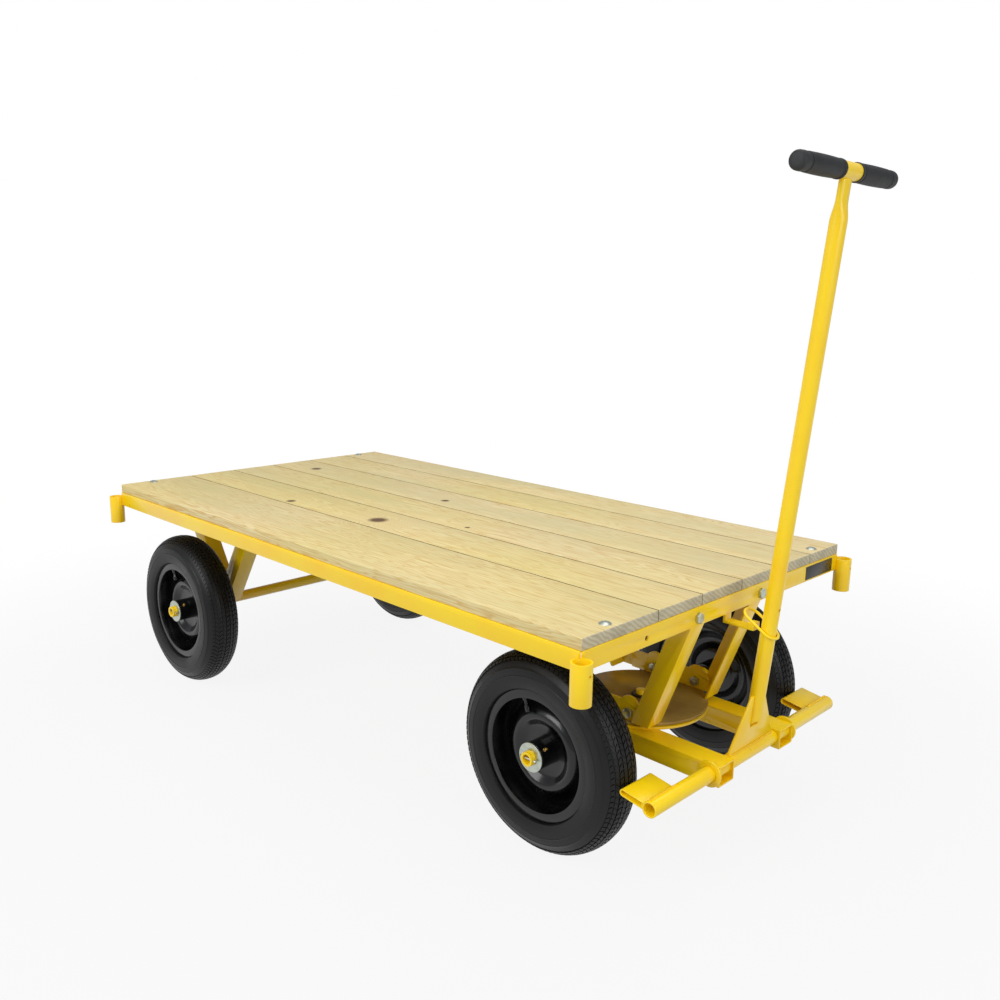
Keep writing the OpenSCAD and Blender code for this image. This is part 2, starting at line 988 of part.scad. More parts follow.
// pressed rim: barrel, flanges and a dished disc with a raised ring round the hub, which
// faces +Y, and a valve that stands through the barrel towards the hub
module rim() {
  barrel_r = seat_r - rim_t;
  hub_r = hub_d / 2;
  disc = [[barrel_r + 1, -8], [barrel_r - 12, -6], [barrel_r - 20, 2], [barrel_r - 29, 12],
    [barrel_r - 36, 15], [barrel_r - 44, 13], [barrel_r - 52, 5], [hub_r + 12, 2], [hub_r, 2]];
  back = [for (i = [len(disc) - 1 : -1 : 0]) [disc[i][0], disc[i][1] - rim_t]];
  difference() {
    rotate([-90, 0, 0])
      rotate_extrude($fn = 96)
        union() {
          translate([barrel_r, -seat_w - rim_t])
            square([rim_t, 2 * (seat_w + rim_t)]);
          for (y = [-seat_w - rim_t, seat_w])
            translate([barrel_r, y])
              square([rim_r - barrel_r, rim_t]);
          polygon(concat(disc, back));
        }
    translate([0, valve_y, barrel_r - 5])
      cylinder(d = valve_d, h = 20);
  }
  translate([0, valve_y, barrel_r - 27])
    cylinder(d = valve_d, h = 29);
}

// hub tube with a running bore and a grease nipple near its outer end
module hub() {
  difference() {
    union() {
      rod_y(hub_d, hub_l);
      translate([0, hub_l / 2 - 10, 0])
        rotate([0, -50, 0])
          cylinder(d = nipple_d, h = hub_d / 2 + 9);
    }
    rod_y(axle_d + 2 * hub_fit, hub_l + 2);
  }
}

// wheel parts in place: sx, sy pick the corner, the dish faces outwards
module at_wheel(sx, sy) {
  x = sx > 0 ? front_x : -rear_x;
  y = sx > 0 ? front_track : rear_track;
  translate([x, sy * y, wheel_r])
    rotate([0, 0, sy > 0 ? 0 : 180])
      children();
}

module wheel_tyre(sx, sy) {
  color(rubber)
    at_wheel(sx, sy)
      tyre();
}

module wheel_rim(sx, sy) {
  color(gloss_black)
    at_wheel(sx, sy)
      rim();
}

module wheel_hub(sx, sy) {
  color(gloss_black)
    at_wheel(sx, sy)
      hub();
}

placed() deck_boards();
placed() side_rail_right();
placed() side_rail_left();
placed() front_rail();
placed() rear_rail();
placed() cross_member_rear();
placed() cross_member_axle();
placed() cross_member_middle();
placed() cross_member_front();
placed() socket_front_right();
placed() socket_front_left();
placed() socket_rear_right();
placed() socket_rear_left();
placed() deck_bolts();
placed() frame_bolts();
placed() label_plate();
placed() latch_bracket();
placed() turntable_upper_plate();
placed() saddle_plate_right();
placed() saddle_plate_left();
placed() front_leg_right();
placed() front_leg_left();
placed() back_leg_right();
placed() back_leg_left();
placed() rear_axle();
placed() rear_axle_retainers();
placed() rear_leg_right_front();
placed() rear_leg_right_back();
placed() rear_leg_left_front();
placed() rear_leg_left_back();
placed() turntable_lower_plate();
placed() kingpin();
placed() thrust_washers();
placed() front_axle();
placed() front_axle_retainers();
placed() drawbar_arm_right();
placed() drawbar_arm_left();
placed() cross_tube();
placed() pivot_collars();
placed() brake_pad_right();
placed() brake_pad_left();
placed() handle_gusset();
placed() handle_tube();
placed() t_bar();
placed() grip_right();
placed() grip_left();
placed() latch_ring();
placed() wheel_tyre(1, -1);  // tyre_front_right
placed() wheel_rim(1, -1);  // rim_front_right
placed() wheel_hub(1, -1);  // hub_front_right
placed() wheel_tyre(1, 1);  // tyre_front_left
placed() wheel_rim(1, 1);  // rim_front_left
placed() wheel_hub(1, 1);  // hub_front_left
placed() wheel_tyre(-1, -1);  // tyre_rear_right
placed() wheel_rim(-1, -1);  // rim_rear_right
placed() wheel_hub(-1, -1);  // hub_rear_right
placed() wheel_tyre(-1, 1);  // tyre_rear_left
placed() wheel_rim(-1, 1);  // rim_rear_left
placed() wheel_hub(-1, 1);  // hub_rear_left
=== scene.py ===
import json
import math
import random

import bmesh
import bpy
from mathutils import Matrix, Vector

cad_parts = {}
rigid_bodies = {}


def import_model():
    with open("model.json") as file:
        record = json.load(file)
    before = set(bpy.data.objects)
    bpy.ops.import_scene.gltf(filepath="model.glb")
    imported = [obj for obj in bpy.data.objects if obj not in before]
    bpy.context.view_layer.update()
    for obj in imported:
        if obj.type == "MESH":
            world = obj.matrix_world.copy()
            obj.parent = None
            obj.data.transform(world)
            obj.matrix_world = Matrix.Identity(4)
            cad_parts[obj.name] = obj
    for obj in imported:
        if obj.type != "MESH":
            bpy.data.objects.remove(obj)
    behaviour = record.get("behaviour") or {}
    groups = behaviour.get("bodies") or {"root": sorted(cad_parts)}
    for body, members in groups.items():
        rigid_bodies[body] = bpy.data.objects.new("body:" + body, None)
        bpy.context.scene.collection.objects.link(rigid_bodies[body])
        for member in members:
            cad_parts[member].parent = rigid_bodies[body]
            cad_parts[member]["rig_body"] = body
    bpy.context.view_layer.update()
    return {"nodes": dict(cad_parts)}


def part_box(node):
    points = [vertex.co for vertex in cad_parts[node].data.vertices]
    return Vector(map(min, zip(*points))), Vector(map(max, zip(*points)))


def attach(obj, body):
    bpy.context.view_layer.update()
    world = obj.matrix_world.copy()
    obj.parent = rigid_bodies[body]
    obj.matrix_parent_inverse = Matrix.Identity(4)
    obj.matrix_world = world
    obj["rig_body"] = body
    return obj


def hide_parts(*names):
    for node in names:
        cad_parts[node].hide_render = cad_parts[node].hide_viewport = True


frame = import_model()
cadNodes = frame["nodes"]
wheelCorners = ("front_right", "front_left", "rear_right", "rear_left")
random.seed(7)
print("frame loaded")


# small tools that every piece uses

def restHands():
    if bpy.context.mode != "OBJECT":
        bpy.ops.object.mode_set(mode="OBJECT")
    bpy.ops.object.select_all(action="DESELECT")


def hold(piece):
    restHands()
    piece.select_set(True)
    bpy.context.view_layer.objects.active = piece


def editAll(piece):
    hold(piece)
    bpy.ops.object.mode_set(mode="EDIT")
    bpy.ops.mesh.select_all(action="SELECT")


def pickFaces(piece, rule):
    bpy.ops.mesh.select_all(action="DESELECT")
    bpy.ops.mesh.select_mode(type="FACE")
    mesh = bmesh.from_edit_mesh(piece.data)
    for face in mesh.faces:
        face.select_set(bool(rule(face.calc_center_median(), face.normal)))
    bmesh.update_edit_mesh(piece.data)


def settle(piece, name):
    hold(piece)
    bpy.ops.object.transform_apply(location=True, rotation=True, scale=True)
    piece.name = name
    piece.data.name = name
    return piece


def finishWith(piece, kind, **settings):
    hold(piece)
    modifier = piece.modifiers.new(kind.title(), kind)
    for key, value in settings.items():
        setattr(modifier, key, value)
    bpy.ops.object.modifier_apply(modifier=modifier.name)


def smooth(piece, degrees):
    hold(piece)
    bpy.ops.object.shade_smooth_by_angle(angle=math.radians(degrees))


def joined(pieces, name):
    restHands()
    for piece in pieces:
        piece.select_set(True)
    bpy.context.view_layer.objects.active = pieces[0]
    bpy.ops.object.join()
    pieces[0].name = name
    pieces[0].data.name = name
    return pieces[0]


def copyOf(piece, name):
    twin = piece.copy()
    twin.data = piece.data.copy()
    bpy.context.scene.collection.objects.link(twin)
    twin.name = name
    twin.data.name = name
    return twin


def dress(piece, *materials):
    piece.data.materials.clear()
    for material in materials:
        piece.data.materials.append(material)


def seat(piece, node):
    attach(piece, cadNodes[node]["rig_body"])
    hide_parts(node)


# centre is the smallest radius a ring shrinks to, so that it can still be scaled
turningSettings = {"centre": 1e-7, "merge": 0.00001}


# a circle raised ring by ring up Z through (radius, height) points; swings twist single rings
def turned(profile, steps, closed=False, swings=None):
    restHands()
    radius, height = profile[0]
    bpy.ops.mesh.primitive_circle_add(vertices=steps, radius=radius, location=(0, 0, 0))
    piece = bpy.context.active_object
    bpy.ops.object.mode_set(mode="EDIT")
    bpy.ops.mesh.select_mode(type="VERT")
    bpy.ops.mesh.select_all(action="SELECT")
    bpy.ops.transform.translate(value=(0, 0, height))
    rings = profile[1:] + ([profile[0]] if closed else [])
    for i, (wide, high) in enumerate(rings, start=1):
        wide = max(wide, turningSettings["centre"])
        bpy.ops.mesh.extrude_region_move(TRANSFORM_OT_translate={"value": (0, 0, high - height)})
        scale = wide / radius
        bpy.ops.transform.resize(value=(scale, scale, 1), center_override=(0, 0, high))
        if swings and i in swings:
            bpy.ops.transform.rotate(value=swings[i], orient_axis="Z",
                                     center_override=(0, 0, high))
        radius, height = wide, high
    bpy.ops.mesh.select_all(action="SELECT")
    bpy.ops.mesh.remove_doubles(threshold=turningSettings["merge"])
    if not closed:
        bpy.ops.mesh.select_all(action="SELECT")
        bpy.ops.mesh.fill_holes(sides=0)
        bpy.ops.mesh.select_all(action="SELECT")
    bpy.ops.mesh.normals_make_consistent(inside=False)
    bpy.ops.object.mode_set(mode="OBJECT")
    return piece


# a smooth line through the points, with this many parts from each to the next
def curvedThrough(points, parts):
    line = []
    ends = [points[0]] + points + [points[-1]]
    for before, start, stop, after in zip(ends, ends[1:], ends[2:], ends[3:]):
        for k in range(parts):
            t = k / parts
            line.append(tuple(
                0.5 * (2 * b + (c - a) * t + (2 * a - 5 * b + 4 * c - d) * t * t
                       + (3 * b - a - 3 * c + d) * t ** 3)
                for a, b, c, d in zip(before, start, stop, after)))
    line.append(tuple(points[-1]))
    return line


# turns a piece made up Z so that its top looks along side * Y, and its X points up
def lyingOnY(side):
    return Matrix(((0, side, 0), (0, 0, side), (1, 0, 0))).to_4x4()


# materials; a scale is one over the pattern's size in metres

def linear(hexColour):
    parts = [int(hexColour[i:i + 2], 16) / 255 for i in (1, 3, 5)]
    return tuple(c / 12.92 if c <= 0.04045 else ((c + 0.055) / 1.055) ** 2.4
                 for c in parts) + (1.0,)


def feed(tree, node, inputs):
    for key, value in inputs.items():
        if isinstance(value, bpy.types.NodeSocket):
            tree.links.new(value, node.inputs[key])
        else:
            node.inputs[key].default_value = value


# stops are a colour ramp's: a place, then a hex colour or a grey from 0 to 1
def add(tree, kind, settings=None, inputs=None, stops=()):
    node = tree.nodes.new("ShaderNode" + kind)
    for key, value in (settings or {}).items():
        setattr(node, key, value)
    feed(tree, node, inputs or {})
    if stops:
        elements = node.color_ramp.elements
        while len(elements) < len(stops):
            elements.new(0.5)
        for element, (position, tone) in zip(elements, stops):
            element.position = position
            element.color = linear(tone) if isinstance(tone, str) else (tone, tone, tone, 1)
    return node


def newMaterial(name):
    material = bpy.data.materials.new(name)
    material.use_nodes = True
    tree = material.node_tree
    tree.nodes.clear()
    shader = add(tree, "BsdfPrincipled")
    add(tree, "OutputMaterial", inputs={"Surface": shader.outputs["BSDF"]})
    place = add(tree, "TexCoord").outputs["Object"]
    return material, tree, shader, place


enamelSettings = {"colour": "#FFDA04", "shade": "#FFCF02", "peelSize": 0.0022, "roughness": 0.33}


def yellowEnamel():
    # sprayed enamel: soft gloss with orange peel
    material, tree, shader, place = newMaterial("yellowEnamelSprayed")
    # the coat is a little thinner in clouds 110 mm across, and duller in spots of 24 mm
    cloud = add(tree, "TexNoise", inputs={"Vector": place, "Scale": 9.0, "Detail": 3.0})
    colour = add(tree, "ValToRGB", inputs={"Fac": cloud.outputs["Fac"]},
                 stops=[(0.3, enamelSettings["shade"]), (0.62, enamelSettings["colour"])])
    haze = add(tree, "TexNoise", inputs={"Vector": place, "Scale": 42.0, "Detail": 4.0})
    rough = add(tree, "ValToRGB", inputs={"Fac": haze.outputs["Fac"]},
                stops=[(0.25, enamelSettings["roughness"] - 0.06),
                       (0.75, enamelSettings["roughness"] + 0.08)])
    peel = add(tree, "TexNoise", inputs={"Vector": place, "Detail": 2.0,
                                         "Scale": 1 / enamelSettings["peelSize"]})
    bump = add(tree, "Bump", inputs={"Height": peel.outputs["Fac"], "Strength": 0.18,
                                     "Distance": 0.0004})
    feed(tree, shader, {"Base Color": colour.outputs["Color"], "Roughness": rough.outputs["Color"],
                        "Normal": bump.outputs["Normal"], "Coat Weight": 0.25,
                        "Coat Roughness": 0.12})
    return material


def weldBeadEnamel():
    # the same paint over a lumpy bead, lumps of 4 mm
    material, tree, shader, place = newMaterial("yellowEnamelOnWeld")
    lumps = add(tree, "TexNoise", inputs={"Vector": place, "Scale": 260.0, "Detail": 3.0})
    colour = add(tree, "ValToRGB", inputs={"Fac": lumps.outputs["Fac"]},
                 stops=[(0.3, "#F2BE04"), (0.65, "#FFD00A")])
    bump = add(tree, "Bump", inputs={"Height": lumps.outputs["Fac"], "Strength": 0.5,
                                     "Distance": 0.0012})
    feed(tree, shader, {"Base Color": colour.outputs["Color"], "Roughness": 0.38,
                        "Normal": bump.outputs["Normal"]})
    return material


def dustAndShadeEnamel():
    # paint under grease and dust, darkened further to brown as painted shade from the deck above;
    # dull, in patches of 90 mm
    material, tree, shader, place = newMaterial("yellowEnamelGreasedAndShaded")
    patches = add(tree, "TexNoise", inputs={"Vector": place, "Scale": 11.0, "Detail": 6.0})
    colour = add(tree, "ValToRGB", inputs={"Fac": patches.outputs["Fac"]},
                 stops=[(0.3, "#8A6B30"), (0.55, "#A98B42"), (0.75, "#CFA62C")])
    rough = add(tree, "ValToRGB", inputs={"Fac": patches.outputs["Fac"]},
                stops=[(0.3, 0.68), (0.75, 0.42)])
    bump = add(tree, "Bump", inputs={"Height": patches.outputs["Fac"], "Strength": 0.2,
                                     "Distance": 0.0006})
    feed(tree, shader, {"Base Color": colour.outputs["Color"], "Roughness": rough.outputs["Color"],
                        "Normal": bump.outputs["Normal"]})
    return material


# a knot is x and y from the deck's middle, then its radius
pineSettings = {"pale": "#F6EDC9", "mid": "#DDBC7C", "dark": "#C3A064", "grey": "#DDD8B2",
                "tint": "#FFFDD0", "knot": "#6B4E33", "roughness": 0.62, "rings": 19.0,
                "grainStretch": (0.55, 11.0, 11.0), "fibreStretch": (6.0, 420.0, 420.0),
                "weatherStretch": (1.6, 9.0, 9.0),
                "knots": [(-0.023, -0.159, 0.021), (-0.308, -0.191, 0.011),
                          (-0.617, 0.093, 0.014), (-0.074, 0.081, 0.010),
                          (0.154, -0.062, 0.006)]}


def planedPine(shiftX):
    # planed softwood: pale, long grain, a few knots
    s = pineSettings
    material, tree, shader, place = newMaterial("pineSawnAndPlaned")
    seed = add(tree, "Attribute", {"attribute_name": "boardSeed"}).outputs["Fac"]
    jump = add(tree, "CombineXYZ", inputs={"X": seed, "Y": seed, "Z": seed})
    moved = add(tree, "VectorMath", {"operation": "ADD"},
                {0: place, 1: jump.outputs["Vector"]}).outputs["Vector"]
    # distance to the nearest knot, in knot radii
    split = add(tree, "SeparateXYZ", inputs={"Vector": place})
    nearest = None
    for x, y, radius in s["knots"]:
        dx = add(tree, "Math", {"operation": "SUBTRACT"}, {0: split.outputs["X"], 1: x + shiftX})
        dy = add(tree, "Math", {"operation": "SUBTRACT"}, {0: split.outputs["Y"], 1: y})
        flat = add(tree, "CombineXYZ", inputs={"X": dx.outputs[0], "Y": dy.outputs[0]})
        away = add(tree, "VectorMath", {"operation": "LENGTH"}, {0: flat.outputs["Vector"]})
        near = add(tree, "Math", {"operation": "DIVIDE"},
                   {0: away.outputs["Value"], 1: radius}).outputs[0]
        nearest = near if nearest is None else add(
            tree, "Math", {"operation": "MINIMUM"}, {0: nearest, 1: near}).outputs[0]
    # knots push the grain aside
    reach = add(tree, "Math", {"operation": "MULTIPLY"}, {0: nearest, 1: 0.2})
    push = add(tree, "ValToRGB", inputs={"Fac": reach.outputs[0]},
               stops=[(0.12, 1.0), (0.9, 0.0)])
    # grain figure about 28 mm across and 570 mm long, cut into rings of late wood
    bend = add(tree, "TexNoise", inputs={"Vector": moved, "Scale": 2.6, "Detail": 2.0})
    stretched = add(tree, "Mapping", inputs={"Vector": moved, "Scale": s["grainStretch"]})
    grain = add(tree, "TexNoise", inputs={"Vector": stretched.outputs["Vector"], "Scale": 3.2,
                                          "Detail": 3.0, "Distortion": 0.25})
    lift = add(tree, "Math", {"operation": "MULTIPLY_ADD"},
               {0: push.outputs["Color"], 1: 0.55, 2: grain.outputs["Fac"]})
    warp = add(tree, "Math", {"operation": "MULTIPLY_ADD"},
               {0: bend.outputs["Fac"], 1: 0.35, 2: lift.outputs[0]})
    rings = add(tree, "Math", {"operation": "MULTIPLY"}, {0: warp.outputs[0], 1: s["rings"]})
    saw = add(tree, "Math", {"operation": "FRACT"}, {0: rings.outputs[0]})
    lateWood = add(tree, "ValToRGB", inputs={"Fac": saw.outputs[0]},
                   stops=[(0.0, 0.0), (0.45, 0.12), (0.82, 0.9), (1.0, 0.0)]).outputs["Color"]
    base = add(tree, "Mix", {"data_type": "RGBA"},
               {"Factor": lateWood, "A": linear(s["pale"]), "B": linear(s["mid"])})
    # weathering in streaks of 110 by 620 mm, and a warmer tone over 590 mm
    streaks = add(tree, "Mapping", inputs={"Vector": moved, "Scale": s["weatherStretch"]})
    greyed = add(tree, "TexNoise", inputs={"Vector": streaks.outputs["Vector"], "Scale": 1.0,
                                           "Detail": 3.0})
    greyFactor = add(tree, "ValToRGB", inputs={"Fac": greyed.outputs["Fac"]},
                     stops=[(0.42, 0.0), (0.68, 0.7)])
    weathered = add(tree, "Mix", {"data_type": "RGBA"},
                    {"Factor": greyFactor.outputs["Color"], "A": base.outputs["Result"],
                     "B": linear(s["grey"])})
    tint = add(tree, "TexNoise", inputs={"Vector": moved, "Scale": 1.7, "Detail": 1.0})
    tintFactor = add(tree, "ValToRGB", inputs={"Fac": tint.outputs["Fac"]},
                     stops=[(0.35, 0.0), (0.7, 0.55)])
    warm = add(tree, "Mix", {"data_type": "RGBA", "blend_type": "MULTIPLY"},
               {"Factor": tintFactor.outputs["Color"], "A": weathered.outputs["Result"],
                "B": linear(s["tint"])})
    # fibres are 2.4 mm wide, coarser than real ones, so that they show
    combed = add(tree, "Mapping", inputs={"Vector": moved, "Scale": s["fibreStretch"]})
    fibre = add(tree, "TexNoise", inputs={"Vector": combed.outputs["Vector"], "Scale": 1.0,
                                          "Detail": 4.0})
    fibreFactor = add(tree, "ValToRGB", inputs={"Fac": fibre.outputs["Fac"]},
                      stops=[(0.35, 0.0), (0.75, 0.35)])
    fibred = add(tree, "Mix", {"data_type": "RGBA"},
                 {"Factor": fibreFactor.outputs["Color"], "A": warm.outputs["Result"],
                  "B": linear(s["dark"])})
    heart = add(tree, "Math", {"operation": "MULTIPLY"}, {0: nearest, 1: 0.5})
    knotCore = add(tree, "ValToRGB", inputs={"Fac": heart.outputs[0]},
                   stops=[(0.3, 1.0), (0.62, 0.0)])
    knotted = add(tree, "Mix", {"data_type": "RGBA"},
                  {"Factor": knotCore.outputs["Color"], "A": fibred.outputs["Result"],
                   "B": linear(s["knot"])})
    # each board has its own tone
    scattered = add(tree, "Math", {"operation": "MULTIPLY"}, {0: seed, 1: 5.37})
    odd = add(tree, "Math", {"operation": "FRACT"}, {0: scattered.outputs[0]})
    boardTint = add(tree, "ValToRGB", inputs={"Fac": odd.outputs[0]},
                    stops=[(0.0, "#FFFCF0"), (0.5, "#F0E8D0"), (1.0, "#FFFFFF")])
    tinted = add(tree, "Mix", {"data_type": "RGBA", "blend_type": "MULTIPLY"},
                 {"Factor": 1.0, "A": knotted.outputs["Result"],
                  "B": boardTint.outputs["Color"]})
    high = add(tree, "Math", {"operation": "MULTIPLY_ADD"},
               {0: lateWood, 1: 0.6, 2: fibre.outputs["Fac"]})
    bump = add(tree, "Bump", inputs={"Height": high.outputs[0], "Strength": 0.35,
                                     "Distance": 0.0007})
    feed(tree, shader, {"Base Color": tinted.outputs["Result"], "Roughness": s["roughness"],
                        "Normal": bump.outputs["Normal"]})
    return material


def sawnEndGrain():
    # sawn ends: greyed, with growth rings about 7 mm apart and grime in spots of 36 mm
    material, tree, shader, place = newMaterial("pineSawnEndGrain")
    seed = add(tree, "Attribute", {"attribute_name": "boardSeed"}).outputs["Fac"]
    shift = add(tree, "CombineXYZ", inputs={"Y": seed, "Z": seed})
    moved = add(tree, "VectorMath", {"operation": "ADD"},
                {0: place, 1: shift.outputs["Vector"]}).outputs["Vector"]
    rings = add(tree, "TexWave", {"wave_type": "RINGS", "rings_direction": "X"},
                {"Vector": moved, "Scale": 42.0, "Distortion": 5.0, "Detail": 2.0,
                 "Detail Scale": 1.2})
    grime = add(tree, "TexNoise", inputs={"Vector": moved, "Scale": 28.0, "Detail": 5.0})
    ringTone = add(tree, "ValToRGB", inputs={"Fac": rings.outputs["Fac"]},
                   stops=[(0.2, "#CFC6AA"), (0.8, "#BDB293")])
    grimeFactor = add(tree, "ValToRGB", inputs={"Fac": grime.outputs["Fac"]},
                      stops=[(0.45, 0.0), (0.74, 0.45)])
    mixed = add(tree, "Mix", {"data_type": "RGBA"},
                {"Factor": grimeFactor.outputs["Color"], "A": ringTone.outputs["Color"],
                 "B": linear("#8E8672")})
    bump = add(tree, "Bump", inputs={"Height": grime.outputs["Fac"], "Strength": 0.4,
                                     "Distance": 0.001})
    feed(tree, shader, {"Base Color": mixed.outputs["Result"], "Roughness": 0.85,
                        "Normal": bump.outputs["Normal"]})
    return material


def seamShadeFinish():
    # faces in the seams between boards: painted dark as shade in the gaps, varied in spots of 42
    # mm
    material, tree, shader, place = newMaterial("pineSeamPaintedShade")
    dust = add(tree, "TexNoise", inputs={"Vector": place, "Scale": 24.0, "Detail": 5.0})
    colour = add(tree, "ValToRGB", inputs={"Fac": dust.outputs["Fac"]},
                 stops=[(0.35, "#5E4B2C"), (0.7, "#8D7748")])
    feed(tree, shader, {"Base Color": colour.outputs["Color"], "Roughness": 0.9})
    return material


def tyreRubber():
    # moulded rubber: satin black, a faint bloom over 70 mm, and a skin of 1 mm grain
    material, tree, shader, place = newMaterial("rubberMoulded")
    bloom = add(tree, "TexNoise", inputs={"Vector": place, "Scale": 14.0, "Detail": 5.0})
    colour = add(tree, "ValToRGB", inputs={"Fac": bloom.outputs["Fac"]},
                 stops=[(0.35, "#050506"), (0.7, "#0C0C0E")])
    rough = add(tree, "ValToRGB", inputs={"Fac": bloom.outputs["Fac"]},
                stops=[(0.3, 0.36), (0.7, 0.5)])
    skin = add(tree, "TexNoise", inputs={"Vector": place, "Scale": 900.0, "Detail": 2.0})
    bump = add(tree, "Bump", inputs={"Height": skin.outputs["Fac"], "Strength": 0.25,
                                     "Distance": 0.0004})
    feed(tree, shader, {"Base Color": colour.outputs["Color"], "Roughness": rough.outputs["Color"],
                        "Specular IOR Level": 0.32, "Normal": bump.outputs["Normal"]})
    return material


def blackEnamel():
    # stoved enamel on pressed steel: deep gloss, 5 mm flow marks, dust in spots of 38 mm
    material, tree, shader, place = newMaterial("blackEnamelStoved")
    flow = add(tree, "TexNoise", inputs={"Vector": place, "Scale": 180.0, "Detail": 2.0})
    dust = add(tree, "TexNoise", inputs={"Vector": place, "Scale": 26.0, "Detail": 5.0})
    colour = add(tree, "ValToRGB", inputs={"Fac": dust.outputs["Fac"]},
                 stops=[(0.45, "#060607"), (0.8, "#121214")])
    rough = add(tree, "ValToRGB", inputs={"Fac": dust.outputs["Fac"]},
                stops=[(0.4, 0.2), (0.75, 0.38)])
    bump = add(tree, "Bump", inputs={"Height": flow.outputs["Fac"], "Strength": 0.08,
                                     "Distance": 0.0005})
    feed(tree, shader, {"Base Color": colour.outputs["Color"], "Roughness": rough.outputs["Color"],
                        "Specular IOR Level": 0.38, "Coat Weight": 0.2, "Coat Roughness": 0.08,
                        "Normal": bump.outputs["Normal"]})
    return material


def zincPlate():
    # plated steel: grey with a green-gold cast, clouded over 11 mm
    material, tree, shader, place = newMaterial("zincPassivated")
    cloud = add(tree, "TexNoise", inputs={"Vector": place, "Scale": 90.0, "Detail": 4.0})
    colour = add(tree, "ValToRGB", inputs={"Fac": cloud.outputs["Fac"]},
                 stops=[(0.3, "#A9B0A4"), (0.55, "#C4CABF"), (0.75, "#B9B79A")])
    rough = add(tree, "ValToRGB", inputs={"Fac": cloud.outputs["Fac"]},
                stops=[(0.3, 0.28), (0.7, 0.45)])
    bump = add(tree, "Bump", inputs={"Height": cloud.outputs["Fac"], "Strength": 0.15,
                                     "Distance": 0.0005})
    feed(tree, shader, {"Base Color": colour.outputs["Color"], "Roughness": rough.outputs["Color"],
                        "Metallic": 1.0, "Normal": bump.outputs["Normal"]})
    return material


def nippleBrass():
    # turned brass: warm, slightly tarnished in spots of 4 mm
    material, tree, shader, place = newMaterial("brassTurned")
    tarnish = add(tree, "TexNoise", inputs={"Vector": place, "Scale": 260.0, "Detail": 3.0})
    colour = add(tree, "ValToRGB", inputs={"Fac": tarnish.outputs["Fac"]},
                 stops=[(0.35, "#8A6A36"), (0.65, "#C9A35A")])
    rough = add(tree, "ValToRGB", inputs={"Fac": tarnish.outputs["Fac"]},
                stops=[(0.3, 0.25), (0.7, 0.4)])
    feed(tree, shader, {"Base Color": colour.outputs["Color"], "Roughness": rough.outputs["Color"],
                        "Metallic": 1.0})
    return material


def gripPvc():
    # moulded soft PVC: dull charcoal, with a 1.4 mm pebble and smears of 33 mm
    material, tree, shader, place = newMaterial("gripPvcMoulded")
    pebble = add(tree, "TexVoronoi", inputs={"Vector": place, "Scale": 700.0})
    smear = add(tree, "TexNoise", inputs={"Vector": place, "Scale": 30.0, "Detail": 3.0})
    colour = add(tree, "ValToRGB", inputs={"Fac": smear.outputs["Fac"]},
                 stops=[(0.35, "#141516"), (0.7, "#1F2122")])
    bump = add(tree, "Bump", inputs={"Height": pebble.outputs["Distance"], "Strength": 0.3,
                                     "Distance": 0.0004})
    feed(tree, shader, {"Base Color": colour.outputs["Color"], "Roughness": 0.6,
                        "Normal": bump.outputs["Normal"]})
    return material


def darkNylon():
    # dark greasy washers, wet and dry in spots of 14 mm
    material, tree, shader, place = newMaterial("nylonGreased")
    grease = add(tree, "TexNoise", inputs={"Vector": place, "Scale": 70.0, "Detail": 4.0})
    colour = add(tree, "ValToRGB", inputs={"Fac": grease.outputs["Fac"]},
                 stops=[(0.35, "#15130F"), (0.7, "#2A251B")])
    rough = add(tree, "ValToRGB", inputs={"Fac": grease.outputs["Fac"]},
                stops=[(0.3, 0.25), (0.7, 0.55)])
    feed(tree, shader, {"Base Color": colour.outputs["Color"],
                        "Roughness": rough.outputs["Color"]})
    return material


def blankPlate():
    # blank black film, scuffed in spots of 17 mm
    material, tree, shader, place = newMaterial("polyesterFilmBlack")
    scuff = add(tree, "TexNoise", inputs={"Vector": place, "Scale": 60.0, "Detail": 5.0})
    colour = add(tree, "ValToRGB", inputs={"Fac": scuff.outputs["Fac"]},
                 stops=[(0.4, "#141416"), (0.75, "#222225")])
    rough = add(tree, "ValToRGB", inputs={"Fac": scuff.outputs["Fac"]},
                stops=[(0.35, 0.25), (0.7, 0.4)])
    feed(tree, shader, {"Base Color": colour.outputs["Color"],
                        "Roughness": rough.outputs["Color"]})
    return material


deckLow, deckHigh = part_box("deck_boards")
deckMiddle = (deckLow + deckHigh) / 2
paint, weldPaint, dustAndShade = yellowEnamel(), weldBeadEnamel(), dustAndShadeEnamel()
pine, endGrain, seamShade = planedPine(deckMiddle.x), sawnEndGrain(), seamShadeFinish()
rubber, gloss, zinc, brass = tyreRubber(), blackEnamel(), zincPlate(), nippleBrass()
gripSkin, nylon, film = gripPvc(), darkNylon(), blankPlate()
print("materials made")


# steelwork: every bar, tube and plate gets its rolled or filed edges, in metres here

steelSettings = {"segments": 2, "sharp": 38, "smooth": 34, "merge": 0.00002, "flat": 0.6,
                 "bar": 0.0011, "tube": 0.0006, "box": 0.0018, "small": 0.0004,
                 "fastener": 0.0005, "label": 0.0002}


def easedSteel(node, edge, finish=paint):
    s = steelSettings
    piece = copyOf(cadNodes[node], node + ".painted")
    piece.parent = None
    editAll(piece)
    bpy.ops.mesh.remove_doubles(threshold=s["merge"])
    bpy.ops.mesh.dissolve_limited(angle_limit=math.radians(s["flat"]))
    finishWith(piece, "BEVEL", width=s[edge], segments=s["segments"], limit_method="ANGLE",
               angle_limit=math.radians(s["sharp"]), use_clamp_overlap=True)
    smooth(piece, s["smooth"])
    dress(piece, finish)
    seat(piece, node)


